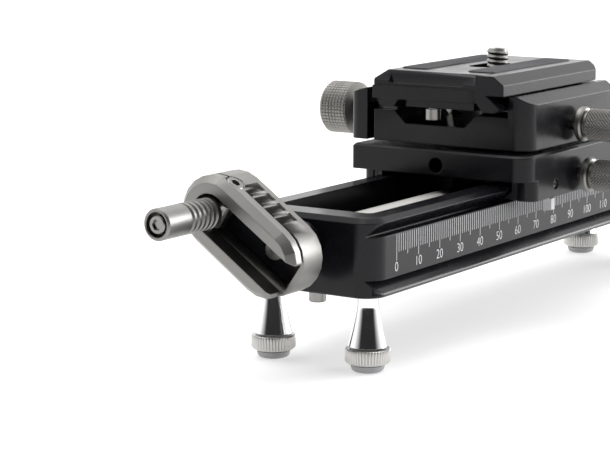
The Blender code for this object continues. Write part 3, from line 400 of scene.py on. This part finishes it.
def build_clamp_knob():
    """The jaw's square-knurled knob with its chamfered face, neck and screw."""
    node = "clamp_knob"
    low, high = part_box(node)
    radius = (high.x - low.x) / 2
    screw = 2.5 * MM
    screw_tip = 2.3 * MM
    neck = 4.2 * MM
    face = high.y - 9.9 * MM
    neck_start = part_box("movable_jaw")[1].y + 0.3 * MM
    knurl_start = face + 1.4 * MM
    knurl_end = high.y - 1.0 * MM
    profile = [(low.y, screw_tip), (low.y + 0.3 * MM, screw), (neck_start, screw),
               (neck_start, neck), (face, neck), (face, radius - 1.5 * MM),
               (face + 1.1 * MM, radius - 0.1 * MM)]
    profile += fill(knurl_start, knurl_end, radius, step=0.14 * MM)
    profile += [(high.y - 0.8 * MM, radius - 0.15 * MM), (high.y, radius - 0.9 * MM),
                (high.y, 4.6 * MM), (high.y - 0.5 * MM, 4.3 * MM)]
    relief = square_knurl(knurl_start, knurl_end, radius, pitch=1.0 * MM, depth=0.24 * MM)
    stand_for(turned("clamp_knob_turned", profile, "Y", axis_centre(node, "Y"),
                     CLAMP_KNOB_STEPS, relief, KNURL_SHARP), node)


# ---- feet ---------------------------------------------------------------------------
NECK = 2.6 * MM
STUD = 1.9 * MM
SHOULDER = -0.3 * MM
FLARE_TOP = -2.5 * MM
FLARE_RIM = 0.2 * MM
FLARE_STEPS = 24
FLARE_POWER = 1.25
LEG_STEPS = 64
RING_TEETH = 44
STEPS_PER_TOOTH = 6
TIP_STEPS = 56


def build_foot_leg(name, node, centre):
    """The chromed leg: a stud, a neck and a flare down to the ring."""
    low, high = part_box(node)
    flare = (high.x - low.x) / 2
    profile = [(low.z, flare - 0.25 * MM), (low.z + FLARE_RIM, flare)]
    for i in range(1, FLARE_STEPS + 1):
        share = i / FLARE_STEPS
        profile.append((low.z + FLARE_RIM + share * (FLARE_TOP - low.z - FLARE_RIM),
                        NECK + (flare - NECK) * (1 - share) ** FLARE_POWER))
    profile += [(SHOULDER - 0.2 * MM, NECK), (SHOULDER, NECK - 0.2 * MM), (SHOULDER, STUD),
                (high.z, STUD)]
    stand_for(turned(f"foot_leg_{name}", profile, "Z", centre, LEG_STEPS), node)


def build_foot_ring(name, node, centre):
    """The ring that the fingers turn, with straight knurling."""
    low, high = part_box(node)
    radius = (high.x - low.x) / 2
    profile = [(low.z, radius - 0.6 * MM), (low.z + 0.45 * MM, radius - 0.05 * MM),
               (low.z + 0.6 * MM, radius), (high.z - 0.35 * MM, radius),
               (high.z - 0.2 * MM, radius - 0.05 * MM), (high.z, radius - 0.35 * MM)]
    relief = straight_knurl(low.z, high.z, radius, RING_TEETH, depth=0.30 * MM)
    stand_for(turned(f"foot_knurl_{name}", profile, "Z", centre, RING_TEETH * STEPS_PER_TOOTH,
                     relief, KNURL_SHARP), node)


def build_foot_tip(name, node, centre):
    """The rubber tip, rounded at the floor."""
    low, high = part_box(node)
    radius = (high.x - low.x) / 2
    profile = [(low.z, radius - 1.1 * MM), (low.z + 0.12 * MM, radius - 0.75 * MM),
               (low.z + 0.35 * MM, radius - 0.45 * MM), (low.z + 0.7 * MM, radius - 0.25 * MM),
               (high.z, radius)]
    stand_for(turned(f"foot_rubber_{name}", profile, "Z", centre, TIP_STEPS), node)


def build_foot(name):
    """One of the four feet, in three pieces on one axis."""
    centre = axis_centre(f"foot_cone_{name}", "Z")
    build_foot_leg(name, f"foot_cone_{name}", centre)
    build_foot_ring(name, f"foot_ring_{name}", centre)
    build_foot_tip(name, f"foot_tip_{name}", centre)


# ---- screws -------------------------------------------------------------------------
LEAD_SCREW_STEPS = 28
LEAD_PITCH = 1.25 * MM
LEAD_RINGS_PER_TURN = 6
TRIPOD_SCREW_STEPS = 48
TRIPOD_PITCH = 1.27 * MM
TRIPOD_RINGS_PER_TURN = 8
SOCKET_MIDDLE = 0.2 * MM


def thread(pitch, depth, start, end):
    """A V-shaped helical groove, on the stretch between two places."""
    def relief(along, angle, size):
        if not start <= along <= end:
            return size
        return size - depth * wave(along / pitch + angle / TURN)
    return relief


def build_lead_screw():
    """The threaded rod in the pocket, with a plain journal at each end."""
    node = "lead_screw"
    low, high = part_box(node)
    major = (high.z - low.z) / 2
    journal = 3.0 * MM
    edge = 0.3 * MM
    lead_in = major - 0.5 * MM
    pocket_end = 81.7 * MM
    runout = 0.6 * MM
    thread_start = -pocket_end + runout
    thread_end = pocket_end - runout
    profile = [(low.x, journal - edge), (low.x + edge, journal), (-pocket_end, journal),
               (-pocket_end, lead_in), (thread_start, major)]
    profile += fill(thread_start, thread_end, major, LEAD_PITCH / LEAD_RINGS_PER_TURN)[1:]
    profile += [(pocket_end, lead_in), (pocket_end, journal), (high.x, journal)]
    relief = thread(LEAD_PITCH, 0.55 * MM, thread_start, thread_end)
    stand_for(turned("lead_screw_threaded", profile, "X", axis_centre(node, "X"),
                     LEAD_SCREW_STEPS, relief, LEAD_THREAD_SHARP), node)


def build_camera_screw():
    """The tripod thread that stands above the plate, with its round head below."""
    node = "camera_screw"
    low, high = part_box(node)
    head = (high.x - low.x) / 2
    shank = 2.95 * MM
    head_top = 41.2 * MM
    thread_start = head_top + 0.3 * MM
    thread_end = high.z - 0.5 * MM
    socket_floor = high.z - 0.9 * MM
    profile = [(low.z, head - 0.4 * MM), (low.z + 0.4 * MM, head), (head_top - 0.2 * MM, head),
               (head_top, head - 0.2 * MM), (head_top, shank)]
    profile += fill(thread_start, thread_end, shank, TRIPOD_PITCH / TRIPOD_RINGS_PER_TURN)
    profile += [(high.z, shank - 0.55 * MM), (high.z, 1.35 * MM), (socket_floor, 1.3 * MM),
                (socket_floor, 0.3 * MM)]
    relief = thread(TRIPOD_PITCH, 0.42 * MM, thread_start, thread_end)
    stand_for(turned("camera_screw_threaded", profile, "Z", axis_centre(node, "Z"),
                     TRIPOD_SCREW_STEPS, relief, TRIPOD_THREAD_SHARP), node)


def socket_screw(node, axis, shank, head_length, socket, depth):
    """A hexagon-socket screw whose head's face is at the axis's low end."""
    low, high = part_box(node)
    outer, inner = (getattr(corner, axis.lower()) for corner in (low, high))
    radius = (high.y - low.y) / 2 if axis == "X" else (high.x - low.x) / 2
    edge = 0.25 * MM
    flats = hexagon(socket)
    profile = [(outer + depth, SOCKET_MIDDLE), (outer + depth, flats), (outer, flats),
               (outer, radius - edge), (outer + edge, radius), (outer + head_length, radius),
               (outer + head_length, shank), (inner, shank)]
    stand_for(turned(f"{node}_turned", profile, axis, axis_centre(node, axis)), node)


def build_small_screws():
    """The stop screws, the crank's fixing screw and the gib strips' set screws."""
    for name, head_length in (("plate_stop_screw", 3.0 * MM), ("safety_stop_screw", 2.8 * MM)):
        for number in (1, 2):
            socket_screw(f"{name}_{number}", "Z", shank=1.2 * MM, head_length=head_length,
                         socket=2.0 * MM, depth=1.2 * MM)
    socket_screw("crank_fixing_screw", "X", shank=1.2 * MM, head_length=0.45 * MM,
                 socket=2.0 * MM, depth=0.3 * MM)
    for number in (1, 2):
        node = f"gib_set_screw_{number}"
        low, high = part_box(node)
        socket_screw(node, "Y", shank=(high.x - low.x) / 2 - 0.05 * MM, head_length=2.0 * MM,
                     socket=1.0 * MM, depth=0.9 * MM)


def build_hinge_screw():
    """The pin the grip folds on, with its hexagon-socket head on the crank's edge."""
    hinge = joint_of("handle_fold")
    pin, head, edge = 1.3 * MM, 2.1 * MM, 0.2 * MM
    tip, seat, face = -7.6 * MM, 7.35 * MM, 8.4 * MM
    socket_floor = face - 1.2 * MM
    flats = hexagon(2.0 * MM)
    profile = [(tip, pin - edge), (tip + edge, pin), (seat, pin), (seat, head),
               (face - edge, head), (face, head - edge), (face, flats),
               (socket_floor, flats), (socket_floor, SOCKET_MIDDLE)]
    screw = turned("hinge_screw_turned", profile, "Z", (0, 0))
    turn = Vector(hinge["axis"]).to_track_quat("Z", "Y").to_matrix().to_4x4()
    screw.data.transform(Matrix.Translation(hinge["pos_m"]) @ turn)
    stand_for(screw, "handle_hinge_screw")


# ---- the crank's flutes -------------------------------------------------------------
FLUTE_PLACES = (12.2 * MM, 8.6 * MM, 5.0 * MM, 1.4 * MM)
FLUTE_RADIUS = 1.53 * MM
FLUTE_REACH = 9.15 * MM
FLUTE_STEPS = 64
FLUTE_CLEAR = 1 * MM
FLUTE_END = 2.17 * MM


def flute_cutter():
    """Fine round cutters along the crank's upper edge, a hair wider than its CAD flutes."""
    low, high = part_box("crank_body")
    shaft = Vector(joint_of("crank_turn")["pos_m"])
    across = Vector(joint_of("handle_fold")["axis"])
    along = Vector((0, across.z, -across.y))
    bm = bmesh.new()
    for place in FLUTE_PLACES:
        centre = shaft + along * place + across * FLUTE_REACH
        ends = [ring(bm, "X", x, (centre.y, centre.z), FLUTE_RADIUS, FLUTE_STEPS)
                for x in (low.x - FLUTE_CLEAR, high.x - FLUTE_END)]
        bridge(bm, *ends)
        bm.faces.new(ends[0])
        bm.faces.new(ends[1])
    return add_piece("flute_cutter", bm)


# ---- the folding grip ---------------------------------------------------------------
GRIP_STEPS = 64
GROOVE_COUNT = 6
GROOVE_PITCH = 1.75 * MM
GROOVE_DEPTH = 0.75 * MM
GROOVE_PROFILE = ((0.0, 0.0), (0.22 * MM, 0.75), (0.45 * MM, 1.0), (0.68 * MM, 0.75),
                  (0.90 * MM, 0.0))


def build_grip():
    """The sleeve with ring grooves at its inner end and a counterbored outer end."""
    node = "handle_grip"
    low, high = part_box(node)
    radius = (high.z - low.z) / 2
    centre = axis_centre(node, "X")
    bore = 2.2 * MM
    counterbore = 2.85 * MM
    floor = low.x + 2.9 * MM
    edge = 0.4 * MM
    bore_edge = 0.15 * MM
    groove_start = high.x - 0.9 * MM - GROOVE_COUNT * GROOVE_PITCH
    outline = [(low.x + bore_edge, counterbore), (low.x, counterbore + bore_edge),
               (low.x, radius - edge), (low.x + edge, radius)]
    for i in range(GROOVE_COUNT):
        start = groove_start + i * GROOVE_PITCH
        outline += [(start + along, radius - GROOVE_DEPTH * share)
                    for along, share in GROOVE_PROFILE]
    outline += [(high.x - edge, radius), (high.x, radius - edge), (high.x, bore),
                (floor, bore), (floor, counterbore)]
    bm = bmesh.new()
    rings = [ring(bm, "X", along, centre, size, GRIP_STEPS) for along, size in outline]
    for low_ring, high_ring in zip(rings, rings[1:] + rings[:1]):
        bridge(bm, low_ring, high_ring)
    stand_for(add_piece("handle_grip_turned", bm), node)
    socket_screw("grip_end_screw", "X", shank=1.6 * MM, head_length=0.5 * MM,
                 socket=2.3 * MM, depth=1.4 * MM)


# ---- rubber pads --------------------------------------------------------------------
PAD_RIB_PITCH = 0.75 * MM
PAD_RIB_DEPTH = 0.22 * MM
PAD_CORNER = 1.3 * MM
PAD_BORDER_DIP = 0.25 * MM
PAD_SQUARES_PER_RIB = 4


def round_corner(x, y, low, high):
    """Pulls a place near a pad's corner onto the corner's arc."""
    pull_x = max(0.0, PAD_CORNER - min(x - low.x, high.x - x))
    pull_y = max(0.0, PAD_CORNER - min(y - low.y, high.y - y))
    if pull_x and pull_y:
        shrink = 1 - max(pull_x, pull_y) / math.hypot(pull_x, pull_y)
        x += math.copysign(pull_x * shrink, (low.x + high.x) / 2 - x)
        y += math.copysign(pull_y * shrink, (low.y + high.y) / 2 - y)
    return x, y


def build_pad(node):
    """A rubber pad with fine crossing ribs, inside its pocket in the plate."""
    low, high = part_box(node)
    columns = round((high.x - low.x) / PAD_RIB_PITCH * PAD_SQUARES_PER_RIB)
    rows = round((high.y - low.y) / PAD_RIB_PITCH * PAD_SQUARES_PER_RIB)
    bm = bmesh.new()
    grid = []
    for i in range(columns + 1):
        line = []
        for j in range(rows + 1):
            x, y = round_corner(low.x + (high.x - low.x) * (i / columns),
                                low.y + (high.y - low.y) * (j / rows), low, high)
            rib = max(wave((x + y) / PAD_RIB_PITCH), wave((x - y) / PAD_RIB_PITCH))
            border = i in (0, columns) or j in (0, rows)
            z = high.z - (PAD_BORDER_DIP if border else PAD_RIB_DEPTH * rib ** 2)
            line.append(bm.verts.new((x, y, z)))
        grid.append(line)
    for i in range(columns):
        for j in range(rows):
            bm.faces.new((grid[i][j], grid[i + 1][j], grid[i + 1][j + 1], grid[i][j + 1]))
    rim = ([grid[i][0] for i in range(columns)] + [grid[columns][j] for j in range(rows)]
           + [grid[i][rows] for i in range(columns, 0, -1)]
           + [grid[0][j] for j in range(rows, 0, -1)])
    base = [bm.verts.new((vert.co.x, vert.co.y, low.z)) for vert in rim]
    bridge(bm, rim, base)
    bm.faces.new(base)
    stand_for(add_piece(f"{node}_ribbed", bm, PAD_SHARP), node)


# ---- the printed scale --------------------------------------------------------------
SCALE_ZERO = -80 * MM
SCALE_LENGTH = 160
TICK_TOP = 14.36 * MM - 0.25 * MM
TICK_WIDTH = 0.18 * MM
LONG_TICK = 6.2 * MM
MIDDLE_TICK = 5.2 * MM
SHORT_TICK = 4.2 * MM
INK = 0.02 * MM
INK_WELD = INK / 20
NUMERAL_STEP = 10
NUMERAL_HEIGHT = 2.3 * MM
NUMERAL_FOOT = 5.4 * MM
DIGIT_SHARE_OF_SIZE = 0.7
THINNER_STROKE = -0.035 * MM
POINTER_SLANT = 0.35 * MM


def tick_length(count):
    """Every tenth tick is the longest, every fifth is of middle length."""
    if count % 10 == 0:
        return LONG_TICK
    return MIDDLE_TICK if count % 5 == 0 else SHORT_TICK


def add_block(bm, low, high):
    """A block between two opposite corners."""
    corners = [bm.verts.new((x, y, z)) for x in (low[0], high[0]) for y in (low[1], high[1])
               for z in (low[2], high[2])]
    for a, b, c, d in ((0, 1, 3, 2), (4, 6, 7, 5), (0, 4, 5, 1), (2, 3, 7, 6), (0, 2, 6, 4),
                       (1, 5, 7, 3)):
        bm.faces.new((corners[a], corners[b], corners[c], corners[d]))


def add_numeral(bm, text, x, y):
    """Adds a centred numeral, read from -Y, as thin ink that stands in front of y."""
    curve = bpy.data.curves.new("numeral", "FONT")
    curve.body = text
    curve.align_x = "CENTER"
    curve.size = NUMERAL_HEIGHT / DIGIT_SHARE_OF_SIZE
    curve.resolution_u = 4
    curve.extrude = INK / 2
    curve.offset = THINNER_STROKE
    writing = bpy.data.objects.new("numeral", curve)
    bpy.context.scene.collection.objects.link(writing)
    bpy.context.view_layer.update()
    mesh = writing.evaluated_get(bpy.context.evaluated_depsgraph_get()).to_mesh()
    made = [bm.verts.new((x + vert.co.x, y - INK / 2 - vert.co.z, NUMERAL_FOOT + vert.co.y))
            for vert in mesh.vertices]
    faces = [bm.faces.new([made[i] for i in polygon.vertices]) for polygon in mesh.polygons]
    bmesh.ops.remove_doubles(bm, verts=made, dist=INK_WELD)
    edges = {edge for face in faces if face.is_valid for edge in face.edges}
    bmesh.ops.dissolve_degenerate(bm, edges=list(edges), dist=INK_WELD)
    bpy.data.objects.remove(writing)
    bpy.data.curves.remove(curve)


def build_scale():
    """Millimetre ticks and their numerals, printed on the rail's -Y side."""
    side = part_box("rail_body")[0].y
    half = TICK_WIDTH / 2
    bm = bmesh.new()
    for count in range(SCALE_LENGTH + 1):
        x = SCALE_ZERO + count * MM
        add_block(bm, (x - half, side - INK, TICK_TOP - tick_length(count)),
                  (x + half, side, TICK_TOP))
    for count in range(0, SCALE_LENGTH + 1, NUMERAL_STEP):
        add_numeral(bm, str(count), SCALE_ZERO + count * MM, side)
    add_trim(add_piece("scale_marks", bm), "rail", "white_mark")


def build_pointer():
    """The index under the skirt: a chamfered white face on the scale side."""
    node = "scale_pointer"
    low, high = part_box(node)
    middle = (low + high) / 2
    bm = bmesh.new()
    add_block(bm, low, high)
    for vert in bm.verts:
        if vert.co.y == low.y:
            vert.co.x += POINTER_SLANT if vert.co.x < middle.x else -POINTER_SLANT
            vert.co.z += POINTER_SLANT if vert.co.z < middle.z else 0
    stand_for(add_piece("pointer_face", bm), node)


# ---- milled pieces and the rest -----------------------------------------------------
MILLED = ("rail_body", "carriage_plate", "clamp_body", "movable_jaw", "quick_release_plate",
          "crank_rim", "crank_hub", "handle_stem", "gib_strip_left", "gib_strip_right")


def finish_cad_nodes():
    """Every CAD node gets its slot's finish, for the ones that still show."""
    for node, cad in frame["nodes"].items():
        for holder in cad.material_slots:
            holder.material = MATERIALS[SLOT_OF[node]]


# ---- stage --------------------------------------------------------------------------
CAMERA_PLACE = (-0.4838, -0.2625, 0.0976)
CAMERA_YAW = math.radians(33.68)
CAMERA_PITCH = math.radians(9.79)
CAMERA_LENS = 121.7
CAMERA_SENSOR = 36
CAMERA_NEAREST = 0.01

FLOOR_REACH = 3.0
FLOOR_WHITE = 0.75
FLOOR_ROUGHNESS = 0.9
FLOOR_GLOW = 0.45
FLOOR_GRAIN = 60.0
FLOOR_GRAIN_DEPTH = 2e-5

BRIGHT_SIDE = (0.82, 0.52, 0.20)
WORLD_STRENGTHS = (0.03, 1.3)
WORLD_FACINGS = (-0.60, 0.0)
BACKDROP_STRENGTH = 1.15
WHITE = (1.0, 1.0, 1.0, 1)

SOFTBOX_TARGET = (0, 0, 0.02)
SIDE_SOFTBOX = dict(place=(0.75, -0.55, 0.22), size=(0.6, 0.4), power=5.5)
TOP_SOFTBOX = dict(place=(0.1, 0.15, 0.8), size=(0.7, 0.7), power=3.0)


def build_camera():
    """A camera at the photo's viewpoint."""
    camera = bpy.data.cameras.new("camera")
    camera.lens = CAMERA_LENS
    camera.sensor_width = CAMERA_SENSOR
    camera.clip_start = CAMERA_NEAREST
    holder = bpy.data.objects.new("camera", camera)
    holder.location = CAMERA_PLACE
    look = Vector((math.cos(CAMERA_YAW) * math.cos(CAMERA_PITCH),
                   math.sin(CAMERA_YAW) * math.cos(CAMERA_PITCH), -math.sin(CAMERA_PITCH)))
    holder.rotation_euler = look.to_track_quat("-Z", "Y").to_euler()
    bpy.context.scene.collection.objects.link(holder)
    bpy.context.scene.camera = holder


def build_floor(height):
    """A plain white sheet that glows a little, so that it stays pale on the shadow side."""
    bm = bmesh.new()
    corners = ((-1, -1), (1, -1), (1, 1), (-1, 1))
    bm.faces.new([bm.verts.new((FLOOR_REACH * x, FLOOR_REACH * y, height))
                  for x, y in corners])
    floor = add_piece("floor", bm)
    material = bpy.data.materials.new("floor_paper")
    material.use_nodes = True
    kit = Nodes(material.node_tree)
    shader = material.node_tree.nodes["Principled BSDF"]
    where = kit.add("ShaderNodeTexCoord").outputs["Object"]
    grain = noise(kit, where, FLOOR_GRAIN)
    bump = kit.add("ShaderNodeBump", Height=grain, Distance=FLOOR_GRAIN_DEPTH)
    kit.join(bump.outputs["Normal"], shader.inputs["Normal"])
    shader.inputs["Base Color"].default_value = (FLOOR_WHITE, FLOOR_WHITE, FLOOR_WHITE, 1)
    shader.inputs["Emission Color"].default_value = WHITE
    shader.inputs["Emission Strength"].default_value = FLOOR_GLOW
    shader.inputs["Roughness"].default_value = FLOOR_ROUGHNESS
    floor.data.materials.append(material)


def add_softbox(name, place, size, power):
    """A rectangular light that faces the object."""
    light = bpy.data.lights.new(name, "AREA")
    light.shape = "RECTANGLE"
    light.size, light.size_y = size
    light.energy = power
    holder = bpy.data.objects.new(name, light)
    holder.location = place
    way = Vector(SOFTBOX_TARGET) - Vector(place)
    holder.rotation_euler = way.to_track_quat("-Z", "Y").to_euler()
    bpy.context.scene.collection.objects.link(holder)


def build_world():
    """Light that comes from behind the object and not from its crank side. The camera
    itself sees an even white backdrop in its place."""
    world = bpy.data.worlds.new("studio")
    world.use_nodes = True
    bpy.context.scene.world = world
    kit = Nodes(world.node_tree)
    light = world.node_tree.nodes["Background"]
    where = kit.add("ShaderNodeTexCoord").outputs["Generated"]
    facing = kit.add("ShaderNodeVectorMath", [("operation", "DOT_PRODUCT")])
    kit.join(where, facing.inputs[0])
    facing.inputs[1].default_value = Vector(BRIGHT_SIDE).normalized()
    level = spread(kit, facing.outputs["Value"], *WORLD_STRENGTHS, *WORLD_FACINGS)
    kit.join(level, light.inputs["Strength"])
    backdrop = kit.add("ShaderNodeBackground", Strength=BACKDROP_STRENGTH)
    seen = kit.add("ShaderNodeLightPath").outputs["Is Camera Ray"]
    blend = kit.add("ShaderNodeMixShader")
    kit.join(seen, blend.inputs[0])
    kit.join(light.outputs[0], blend.inputs[1])
    kit.join(backdrop.outputs[0], blend.inputs[2])
    kit.join(blend.outputs[0], world.node_tree.nodes["World Output"].inputs[0])
    for shade in (light, backdrop):
        shade.inputs["Color"].default_value = WHITE


def main():
    """Every visible piece, then the stage."""
    for node in MILLED:
        smooth_copy(node)
    smooth_copy("crank_body", cutter=flute_cutter())
    for node in ("pan_lock_knob", "carriage_lock_knob"):
        build_side_knob(node)
    build_clamp_knob()
    for name in FEET:
        build_foot(name)
    build_lead_screw()
    build_camera_screw()
    build_small_screws()
    build_hinge_screw()
    build_grip()
    for side in ("left", "right"):
        build_pad(f"rubber_pad_{side}")
    build_scale()
    build_pointer()
    finish_cad_nodes()
    build_floor(CAD_BOX[0].z)
    build_world()
    add_softbox("side_softbox", **SIDE_SOFTBOX)
    add_softbox("top_softbox", **TOP_SOFTBOX)
    build_camera()
    bpy.context.scene.view_settings.view_transform = "Standard"


main()
